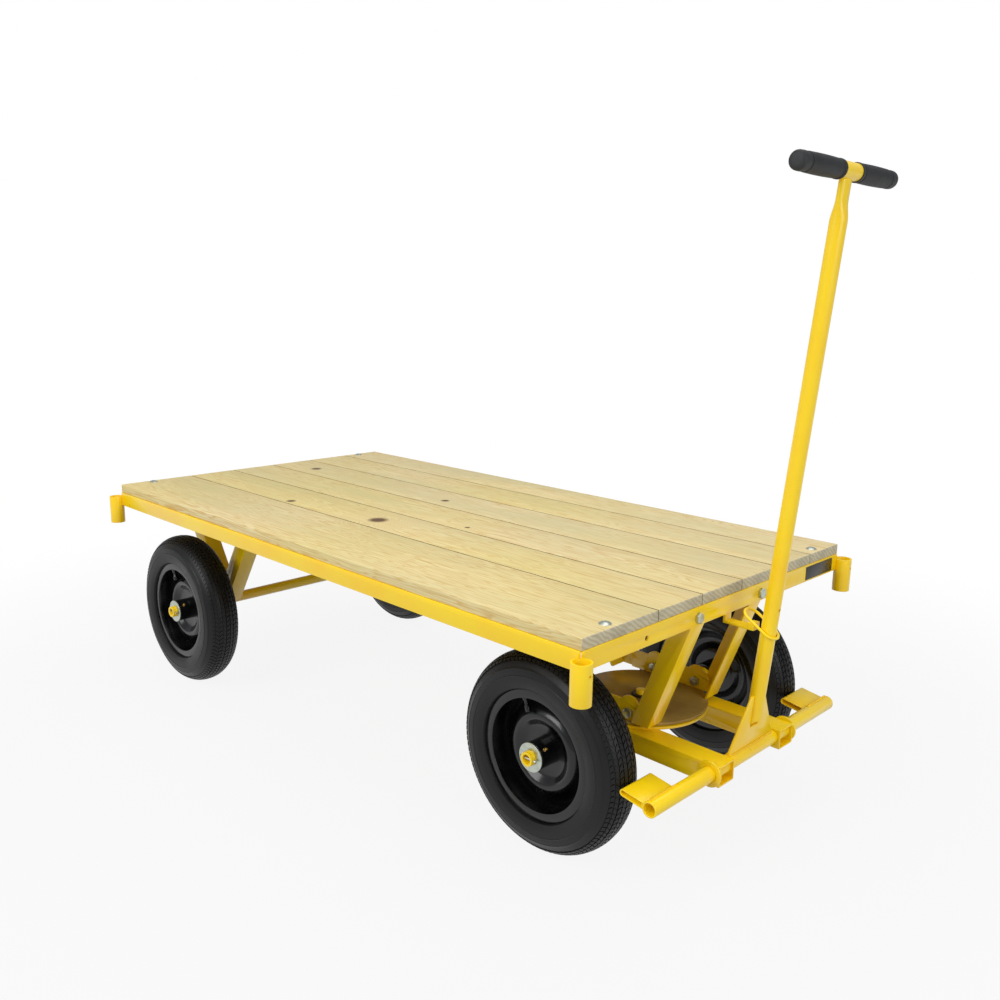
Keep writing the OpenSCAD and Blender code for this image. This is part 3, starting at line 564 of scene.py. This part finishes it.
for nodeName in ("front_rail", "rear_rail", "side_rail_right", "side_rail_left"):
    easedSteel(nodeName, "bar")
# the upper turntable plate takes the darker paint, which holds painted shade from the deck over it
easedSteel("turntable_upper_plate", "bar", dustAndShade)
for nodeName in ("turntable_lower_plate", "saddle_plate_right", "saddle_plate_left",
                 "latch_bracket", "handle_gusset", "kingpin", "rear_axle", "front_axle"):
    easedSteel(nodeName, "bar")
for nodeName in ("cross_tube", "t_bar"):
    easedSteel(nodeName, "tube")
easedSteel("pivot_collars", "bar")
for corner in wheelCorners:
    easedSteel("socket_" + corner, "tube")
for nodeName in ("front_leg_right", "front_leg_left", "back_leg_right", "back_leg_left"):
    easedSteel(nodeName, "bar")
for nodeName in ("cross_member_rear", "cross_member_axle", "cross_member_middle",
                 "cross_member_front", "rear_leg_right_front", "rear_leg_right_back",
                 "rear_leg_left_front", "rear_leg_left_back", "drawbar_arm_right",
                 "drawbar_arm_left"):
    easedSteel(nodeName, "box")
for nodeName in ("brake_pad_right", "brake_pad_left", "latch_ring"):
    easedSteel(nodeName, "small")
for nodeName in ("frame_bolts", "deck_bolts", "front_axle_retainers", "rear_axle_retainers"):
    easedSteel(nodeName, "fastener", zinc)
easedSteel("thrust_washers", "small", nylon)
easedSteel("label_plate", "label", film)
print("steelwork eased")


# deck boards, the first at the left side; the deck's long edges stay planed, rim metres in

boardSettings = {"count": 6, "first": 0.115, "width": 0.1235, "gap": 0.0011, "edge": 0.0019,
                 "edgeSteps": 3, "smooth": 40, "rim": 0.01, "seed": 0.11, "seedStep": 0.37}


def deckBoards():
    s = boardSettings
    size = deckHigh - deckLow

    def isEnd(centre, normal):
        return abs(normal.x) > 0.7

    def isSeam(centre, normal):
        sideways = abs(normal.y) > 0.3 and abs(normal.x) < 0.5
        return sideways and abs(centre.y) < deckHigh.y - s["rim"]

    seams = [deckHigh.y, deckHigh.y - s["first"]]
    while len(seams) < s["count"]:
        seams.append(seams[-1] - s["width"])
    seams.append(deckLow.y)
    for i in range(s["count"]):
        top, bottom = seams[i] - s["gap"] / 2, seams[i + 1] + s["gap"] / 2
        restHands()
        bpy.ops.mesh.primitive_cube_add(
            size=1, location=(deckMiddle.x, (top + bottom) / 2, deckMiddle.z),
            scale=(size.x, top - bottom, size.z))
        board = settle(bpy.context.active_object, f"deckBoard{i + 1}")
        dress(board, pine, endGrain, seamShade)
        editAll(board)
        bpy.ops.mesh.bevel(offset=s["edge"], segments=s["edgeSteps"], affect="EDGES")
        # ends take the end grain; the seam faces take the painted seam shade
        for slotIndex, rule in ((1, isEnd), (2, isSeam)):
            pickFaces(board, rule)
            board.active_material_index = slotIndex
            bpy.ops.object.material_slot_assign()
        bpy.ops.object.mode_set(mode="OBJECT")
        attribute = board.data.attributes.new("boardSeed", "FLOAT", "POINT")
        seed = s["seedStep"] * i + s["seed"]
        attribute.data.foreach_set("value", [seed] * len(board.data.vertices))
        smooth(board, s["smooth"])
        seat(board, "deck_boards")


deckBoards()
print("deck laid")


# wheels are turned up Z and copied to the corners

# angles are in degrees round the tyre's section, 90 at the middle of the tread; from is where
# the tread starts, and square below 1 makes the section fuller
tyreSettings = {"segments": 104, "smooth": 28, "middle": 0.138, "half": 0.042, "crown": 0.0402,
                "square": 0.92, "rows": 9, "from": 40, "shoulder": 1.2, "block": 0.0017,
                "groove": 0.0009, "zigzag": 0.34, "ridge": 0.0006, "ridges": (3, 4, 20, 21),
                "walls": [-26, -16, -6, 2, 3, 4, 5, 12, 19, 20, 21, 22, 30],
                "bead": [(0.103, -0.030), (0.116, -0.030), (0.1165, -0.0345)]}


def tyreModel():
    s = tyreSettings
    walls, start, rows = s["walls"], s["from"], s["rows"]
    band = [start + (180 - 2 * start) * k / rows for k in range(rows + 1)]
    angles = (walls + [start - s["shoulder"]] + band + [180 + s["shoulder"] - start]
              + [180 - degrees for degrees in reversed(walls)])
    step = 2 * math.pi / s["segments"] * s["zigzag"]
    line, swings = list(s["bead"]), {}
    for degrees in angles:
        up, across = math.sin(math.radians(degrees)), math.cos(math.radians(degrees))
        reach = s["crown"] if up > 0 else s["half"]
        lift = s["ridge"] if degrees in s["ridges"] or 180 - degrees in s["ridges"] else 0
        row = band.index(degrees) if degrees in band else 0
        if row:
            # twists add up: rings sit one step left and right in turn, the last is back in line
            swings[len(line)] = (1 if row % 2 else -1) * (1 if row in (1, rows) else 2) * step
        line.append((s["middle"] + math.copysign(abs(up) ** s["square"], up) * reach,
                     -math.copysign(abs(across) ** s["square"], across)
                     * (s["half"] - s["ridge"] + lift)))
    line += [(radius, -height) for radius, height in reversed(s["bead"])]
    tyre = turned(line, s["segments"], closed=True, swings=swings)

    def inTread(centre, normal):
        radius = math.hypot(centre.x, centre.y)
        if radius < s["middle"] + s["crown"] / 2:
            return False
        angle = math.degrees(math.atan2(radius - s["middle"], -centre.z))
        return start - 1 < angle < 181 - start

    editAll(tyre)
    pickFaces(tyre, inTread)
    bpy.ops.mesh.inset(thickness=s["groove"], use_individual=True)
    bpy.ops.mesh.extrude_faces_move(TRANSFORM_OT_shrink_fatten={"value": s["block"]})
    bpy.ops.object.mode_set(mode="OBJECT")
    smooth(tyre, s["smooth"])
    dress(tyre, rubber)
    return tyre


# lip is one half of the barrel's section, disc is the outer face from its edge to the hub
rimSettings = {"segments": 96, "smooth": 40, "wall": 0.003, "discParts": 4,
               "lip": [(0.1000, -0.0315), (0.1008, -0.0328), (0.1020, -0.0330),
                       (0.1145, -0.0330), (0.1158, -0.0324), (0.1160, -0.0312),
                       (0.1152, -0.0302), (0.1135, -0.0300), (0.1045, -0.0300),
                       (0.1034, -0.0296), (0.1030, -0.0285)],
               "disc": [(0.1005, -0.010), (0.0960, -0.0085), (0.0890, -0.0060),
                        (0.0810, 0.0010), (0.0740, 0.0092), (0.0680, 0.0137),
                        (0.0630, 0.0148), (0.0580, 0.0138), (0.0520, 0.0090),
                        (0.0460, 0.0045), (0.0380, 0.0028), (0.0300, 0.0024),
                        (0.0250, 0.0022)]}
valveSettings = {"segments": 20, "smooth": 40, "turn": 20, "ring": 0.073, "height": 0.021,
                 "stem": [(0.0028, 0.0), (0.0050, 0.0008), (0.0054, 0.004), (0.0052, 0.010),
                          (0.0038, 0.0125), (0.0036, 0.020), (0.0052, 0.0225),
                          (0.0062, 0.0295)]}


def rimModel():
    s, v = rimSettings, valveSettings
    outline = s["lip"] + [(radius, -height) for radius, height in reversed(s["lip"])]
    barrel = turned(outline, s["segments"], closed=True)
    face = curvedThrough(s["disc"], s["discParts"])
    back = [(radius, height - s["wall"]) for radius, height in reversed(face)]
    disc = turned(face + back, s["segments"], closed=True)
    rim = joined([barrel, disc], "rimModel")
    smooth(rim, s["smooth"])
    stem = turned(v["stem"], v["segments"])
    turn = math.radians(v["turn"])
    stem.rotation_euler = (0, math.radians(90), turn)
    stem.location = (v["ring"] * math.cos(turn), v["ring"] * math.sin(turn), v["height"])
    settle(stem, "valve")
    smooth(stem, v["smooth"])
    rim = joined([rim, stem], "rimModel")
    dress(rim, gloss)
    return rim


hubSettings = {"segments": 64, "smooth": 40, "bore": 0.01275, "radius": 0.0250, "half": 0.038,
               "edge": 0.0008}
# lean is from upright, foot its height over the axle, along its way out from the middle
nippleSettings = {"segments": 20, "smooth": 40, "lean": 50, "foot": 0.0248, "along": 0.028,
                  "brassFrom": 0.0255,
                  "line": [(0.0038, 0.0), (0.0038, 0.0026), (0.0035, 0.003), (0.0035, 0.0058),
                           (0.0022, 0.0064), (0.0018, 0.0072), (0.0024, 0.0080),
                           (0.0022, 0.0089), (0.0012, 0.0093), (0.0, 0.0094)]}


def hubModel():
    s, n = hubSettings, nippleSettings
    bore, radius, half, edge = s["bore"], s["radius"], s["half"], s["edge"]
    hub = turned([(bore, -half), (radius - edge, -half), (radius, edge - half),
                  (radius, half - edge), (radius - edge, half), (bore, half)],
                 s["segments"], closed=True)
    smooth(hub, s["smooth"])
    nipple = turned(n["line"], n["segments"])
    smooth(nipple, n["smooth"])
    return hub, nipple


def wheelSet():
    n = nippleSettings
    tyre = tyreModel()
    rim = rimModel()
    hub, nipple = hubModel()
    for corner in wheelCorners:
        low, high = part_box("tyre_" + corner)
        middle = (low + high) / 2
        side = -1 if corner.endswith("right") else 1
        # a wheel's outer face looks along side * Y, its valve up
        spot = Matrix.Translation(middle) @ lyingOnY(side)
        for kind, source, slotName in (("tyre", tyre, "tyre_rubber"),
                                       ("rim", rim, "black_enamel")):
            piece = copyOf(source, kind + "." + corner)
            piece.matrix_world = spot
            settle(piece, kind + "." + corner)
            seat(piece, kind + "_" + corner)
        piece = copyOf(hub, "hub." + corner)
        piece.matrix_world = spot
        settle(piece, "hub." + corner)
        fitting = copyOf(nipple, "nipple." + corner)
        fitting.matrix_world = (Matrix.Translation(middle + Vector((0, side * n["along"], 0)))
                                @ Matrix.Rotation(math.radians(-side * n["lean"]), 4, "Y")
                                @ Matrix.Translation((0, 0, n["foot"])))
        settle(fitting, "nipple." + corner)
        piece = joined([piece, fitting], "hub." + corner)
        dress(piece, gloss, brass)
        for face in piece.data.polygons:
            out = piece.data.vertices[face.vertices[0]].co - middle
            face.material_index = 1 if math.hypot(out.x, out.z) > n["brassFrom"] else 0
        seat(piece, "hub_" + corner)
    for spare in (tyre, rim, hub, nipple):
        bpy.data.objects.remove(spare)


wheelSet()
print("wheels built")


# handle tube: round pipe pressed flat under the cross bar, notched over the gusset

tubeSettings = {"foot": 0.048, "top": 0.9472, "lean": 5.3, "flatFrom": 0.885, "flatTo": 0.918,
                "flatSteps": 8, "thin": 0.0078, "wide": 0.0141, "hole": 0.266,
                "holeRadius": 0.003, "holeSteps": 24, "drill": 0.012, "steps": 48, "smooth": 30,
                "notch": (0.00486, 0, 0.0565), "notchSlope": (0.70711, 0, -0.70711)}


def handleTube():
    s = tubeSettings
    low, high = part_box("cross_tube")
    pivot, radius = (low + high) / 2, (high.z - low.z) / 2
    # each ring is its height, then its half widths along X and Y
    rings = [(s["foot"], radius, radius), (s["flatFrom"], radius, radius)]
    for k in range(1, s["flatSteps"] + 1):
        share = k / s["flatSteps"]
        ease = (1 - math.cos(math.pi * share)) / 2
        rings.append((s["flatFrom"] + (s["flatTo"] - s["flatFrom"]) * share,
                      radius + (s["thin"] - radius) * ease,
                      radius + (s["wide"] - radius) * ease))
    rings.append((s["top"], s["thin"], s["wide"]))
    restHands()
    bpy.ops.mesh.primitive_circle_add(vertices=s["steps"], radius=radius, fill_type="NGON",
                                      location=(0, 0, 0))
    tube = bpy.context.active_object
    bpy.ops.object.mode_set(mode="EDIT")
    bpy.ops.mesh.select_mode(type="VERT")
    bpy.ops.mesh.select_all(action="SELECT")
    bpy.ops.transform.translate(value=(0, 0, s["foot"]))
    for before, after in zip(rings, rings[1:]):
        bpy.ops.mesh.extrude_region_move(
            TRANSFORM_OT_translate={"value": (0, 0, after[0] - before[0])})
        bpy.ops.transform.resize(value=(after[1] / before[1], after[2] / before[2], 1),
                                 center_override=(0, 0, after[0]))
    bpy.ops.mesh.select_all(action="SELECT")
    bpy.ops.mesh.normals_make_consistent(inside=False)
    bpy.ops.mesh.bisect(plane_co=s["notch"], plane_no=s["notchSlope"], use_fill=True,
                        clear_outer=True)
    restHands()
    bpy.ops.mesh.primitive_cylinder_add(vertices=s["holeSteps"], radius=s["holeRadius"],
                                        depth=s["drill"], location=(radius, 0, s["hole"]),
                                        rotation=(0, math.radians(90), 0))
    drill = bpy.context.active_object
    finishWith(tube, "BOOLEAN", operation="DIFFERENCE", object=drill, solver="EXACT")
    bpy.data.objects.remove(drill)
    tube.matrix_world = (Matrix.Translation(pivot)
                         @ Matrix.Rotation(math.radians(s["lean"]), 4, "Y"))
    settle(tube, "handleTube")
    smooth(tube, s["smooth"])
    dress(tube, paint)
    seat(tube, "handle_tube")


handleTube()
print("handle tube drawn")


# grips; foot and end are how far out from the body, then how far from that end

gripSettings = {"steps": 40, "smooth": 45, "clearance": 0.0001, "flange": 0.0017,
                "core": 0.0004, "plug": 0.004, "ridges": 22, "ridge": 0.00022,
                "swell": 0.0006, "ridgesFrom": 0.0125, "ridgesTo": 0.026,
                "foot": [(-0.0004, 0.0), (0.0006, 0.0009), (0.0006, 0.0045), (0.0, 0.0055),
                         (-0.0020, 0.0065), (-0.0020, 0.0100), (0.0, 0.0115)],
                "end": [(0.0, 0.0250), (-0.0018, 0.0240), (-0.0018, 0.0205),
                        (-0.0002, 0.0195), (0.0, 0.0120), (-0.0002, 0.0060),
                        (-0.0006, 0.0038), (-0.0022, 0.0018), (-0.0052, 0.0006),
                        (-0.0090, 0.0001)]}


def gripPair():
    s = gripSettings
    barLow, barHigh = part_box("t_bar")
    bore = (barHigh.z - barLow.z) / 2 + s["clearance"]
    for name, side in (("right", -1), ("left", 1)):
        low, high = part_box("grip_" + name)
        body, length = (high.z - low.z) / 2 - s["flange"], high.y - low.y
        line = [(s["core"], length - s["plug"]), (bore, length - s["plug"]), (bore, 0.0)]
        line += [(body + out, along) for out, along in s["foot"]]
        start, stop, count = s["ridgesFrom"], length - s["ridgesTo"], s["ridges"] * 2
        for k in range(count + 1):
            swell = math.sin(math.pi * k / count) * s["swell"]
            ripple = s["ridge"] if k % 2 else -s["ridge"]
            line.append((body + swell + ripple, start + (stop - start) * k / count))
        line += [(body + out, length - back) for out, back in s["end"]] + [(0.0, length)]
        grip = turned(line, s["steps"])
        inner = Vector(((low.x + high.x) / 2, low.y if side > 0 else high.y,
                        (low.z + high.z) / 2))
        grip.matrix_world = Matrix.Translation(inner) @ lyingOnY(side)
        settle(grip, "grip." + name)
        smooth(grip, s["smooth"])
        dress(grip, gripSkin)
        seat(grip, "grip_" + name)


gripPair()
print("grips built")


# weld beads, as rows of drops; the ends are how far a row stops short of its edge

weldSettings = {"width": 0.0042, "pitch": 0.0026, "wobble": 0.14, "overlap": 0.9, "segments": 8,
                "rings": 5, "smooth": 60, "socketEnd": 0.003, "gussetEnd": 0.004,
                "gussetSides": (-0.0038, 0.0042), "gussetSink": 0.965, "padEnd": 0.005,
                "padDrop": 0.0012, "padSink": 0.97}


def weldRun(name, body, runs):
    s = weldSettings
    restHands()
    bpy.ops.mesh.primitive_uv_sphere_add(segments=s["segments"], ring_count=s["rings"], radius=1)
    drip = bpy.context.active_object
    beads = []
    for start, stop in runs:
        start, stop = Vector(start), Vector(stop)
        count = max(2, int((stop - start).length / s["pitch"]))
        along = (stop - start).normalized().to_track_quat("Z", "Y").to_matrix().to_4x4()
        for k in range(count + 1):
            drop = copyOf(drip, "drop")
            wobble = 1 + random.uniform(-s["wobble"], s["wobble"])
            size = Matrix.Diagonal((s["width"] / 2 * wobble, s["width"] / 2 * wobble,
                                    s["pitch"] * s["overlap"], 1))
            drop.matrix_world = Matrix.Translation(start.lerp(stop, k / count)) @ along @ size
            beads.append(drop)
    bpy.data.objects.remove(drip)
    run = joined(beads, name)
    settle(run, name)
    smooth(run, s["smooth"])
    dress(run, weldPaint)
    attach(run, body)


def frameWelds():
    runs = []
    for corner in wheelCorners:
        end, hand = corner.split("_")
        sideX, sideY = (1 if end == "front" else -1), (1 if hand == "left" else -1)
        low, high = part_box("socket_" + corner)
        middle, radius = (low + high) / 2, (high.x - low.x) / 2
        railLow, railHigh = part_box("side_rail_" + hand)
        faceX = railHigh.x if sideX > 0 else railLow.x
        faceY = railHigh.y if sideY > 0 else railLow.y
        bottom, top = railLow.z + weldSettings["socketEnd"], high.z - weldSettings["socketEnd"]
        # where the round socket meets the two rail faces
        meetX = middle.x - sideX * math.sqrt(radius ** 2 - (middle.y - faceY) ** 2)
        meetY = middle.y - sideY * math.sqrt(radius ** 2 - (middle.x - faceX) ** 2)
        runs.append(((meetX, faceY, bottom), (meetX, faceY, top)))
        runs.append(((faceX, meetY, bottom), (faceX, meetY, top)))
    weldRun("frameWelds", "chassis", runs)


def handleWelds():
    s = weldSettings
    low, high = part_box("handle_gusset")
    tubeLow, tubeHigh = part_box("cross_tube")
    axle, radius = (tubeLow + tubeHigh) / 2, (tubeHigh.z - tubeLow.z) / 2
    rise, end = axle.z + radius * s["gussetSink"], s["gussetEnd"]
    runs = [((axle.x + step, low.y + end, rise), (axle.x + step, high.y - end, rise))
            for step in s["gussetSides"]]
    for side in ("right", "left"):
        padLow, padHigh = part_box("brake_pad_" + side)
        above = min(max(padHigh.z - axle.z, 0.0), radius * s["padSink"])
        touch, height = axle.x - math.sqrt(radius ** 2 - above ** 2), padHigh.z - s["padDrop"]
        runs.append(((touch, padLow.y + s["padEnd"], height),
                     (touch, padHigh.y - s["padEnd"], height)))
    weldRun("handleWelds", "handle", runs)


frameWelds()
handleWelds()
print("welds laid")


# stage, light and camera

# a lamp is its name, place, target, width and height, and watts
studioSettings = {"floorSize": 30, "floorDrop": 0.0005, "floorColour": "#B4B4B2",
                  "fadeFrom": 0.9, "fadeTo": 2.2, "whiteNear": 0.89,
                  "sky": (0.47, 0.48, 0.5, 1),
                  "lamps": [("keyLight", (-0.4, -3.4, 2.6), (0.1, 0, 0.3), (2.4, 1.8), 78),
                            ("topLight", (0.4, 0.2, 3.6), (0, 0, 0.3), (3.0, 2.2), 42),
                            ("frontLight", (3.6, -0.6, 1.7), (0.2, 0, 0.4), (1.8, 1.8), 32)]}


def areaLight(name, location, target, size, power):
    lamp = bpy.data.lights.new(name, "AREA")
    lamp.shape = "RECTANGLE"
    lamp.size, lamp.size_y = size
    lamp.energy = power
    holder = bpy.data.objects.new(name, lamp)
    bpy.context.scene.collection.objects.link(holder)
    holder.location = location
    aim = Vector(target) - Vector(location)
    holder.rotation_euler = aim.to_track_quat("-Z", "Y").to_euler()


def paleFloor():
    s = studioSettings
    restHands()
    bpy.ops.mesh.primitive_plane_add(size=s["floorSize"], location=(0, 0, -s["floorDrop"]))
    floor = settle(bpy.context.active_object, "floor")
    material = bpy.data.materials.new("paleStudioFloor")
    material.use_nodes = True
    tree = material.node_tree
    tree.nodes.clear()
    # matt floor that shows white to the eye, and keeps some shadow round the object
    place = add(tree, "TexCoord").outputs["Object"]
    away = add(tree, "VectorMath", {"operation": "LENGTH"}, {0: place})
    share = add(tree, "MapRange", {"interpolation_type": "SMOOTHSTEP"},
                {"Value": away.outputs["Value"], "From Min": s["fadeFrom"],
                 "From Max": s["fadeTo"], "To Min": s["whiteNear"], "To Max": 1.0})
    ray = add(tree, "LightPath")
    looked = add(tree, "Math", {"operation": "MAXIMUM"},
                 {0: ray.outputs["Is Camera Ray"], 1: ray.outputs["Is Glossy Ray"]})
    seen = add(tree, "Math", {"operation": "MULTIPLY"},
               {0: looked.outputs[0], 1: share.outputs["Result"]})
    diffuse = add(tree, "BsdfDiffuse", inputs={"Color": linear(s["floorColour"])})
    glow = add(tree, "Emission", inputs={"Color": (1, 1, 1, 1), "Strength": 1.0})
    mixed = add(tree, "MixShader", inputs={0: seen.outputs[0], 1: diffuse.outputs[0],
                                           2: glow.outputs[0]})
    add(tree, "OutputMaterial", inputs={"Surface": mixed.outputs[0]})
    dress(floor, material)


def paleWorld():
    world = bpy.data.worlds.new("studioWorld")
    bpy.context.scene.world = world
    world.use_nodes = True
    tree = world.node_tree
    tree.nodes.clear()
    ray = add(tree, "LightPath")
    seen = add(tree, "Math", {"operation": "MAXIMUM"},
               {0: ray.outputs["Is Camera Ray"], 1: ray.outputs["Is Transmission Ray"]})
    tone = add(tree, "Mix", {"data_type": "RGBA"},
               {"Factor": seen.outputs[0], "A": studioSettings["sky"], "B": (1, 1, 1, 1)})
    sky = add(tree, "Background", inputs={"Color": tone.outputs["Result"], "Strength": 1.0})
    add(tree, "OutputWorld", inputs={"Surface": sky.outputs[0]})


cameraSettings = {"place": (1.5108, -1.411, 0.947), "azimuth": 44.58, "elevation": 12.12,
                  "roll": 0.9, "lens": 34.66, "sensor": 36}


def placeCamera():
    s = cameraSettings
    azimuth, elevation, roll = (math.radians(s[k]) for k in ("azimuth", "elevation", "roll"))
    back = Vector((math.sin(azimuth) * math.cos(elevation),
                   -math.cos(azimuth) * math.cos(elevation), math.sin(elevation)))
    level = Vector((math.cos(azimuth), math.sin(azimuth), 0))
    upright = back.cross(level)
    right = math.cos(roll) * level + math.sin(roll) * upright
    up = -math.sin(roll) * level + math.cos(roll) * upright
    lensData = bpy.data.cameras.new("viewCamera")
    lensData.lens, lensData.sensor_width = s["lens"], s["sensor"]
    camera = bpy.data.objects.new("viewCamera", lensData)
    bpy.context.scene.collection.objects.link(camera)
    turn = Matrix((right, up, back)).transposed().to_4x4()
    camera.matrix_world = Matrix.Translation(s["place"]) @ turn
    bpy.context.scene.camera = camera


paleFloor()
paleWorld()
for lampFacts in studioSettings["lamps"]:
    areaLight(*lampFacts)
placeCamera()
bpy.context.scene.view_settings.view_transform = "Standard"
print("studio set")

restHands()
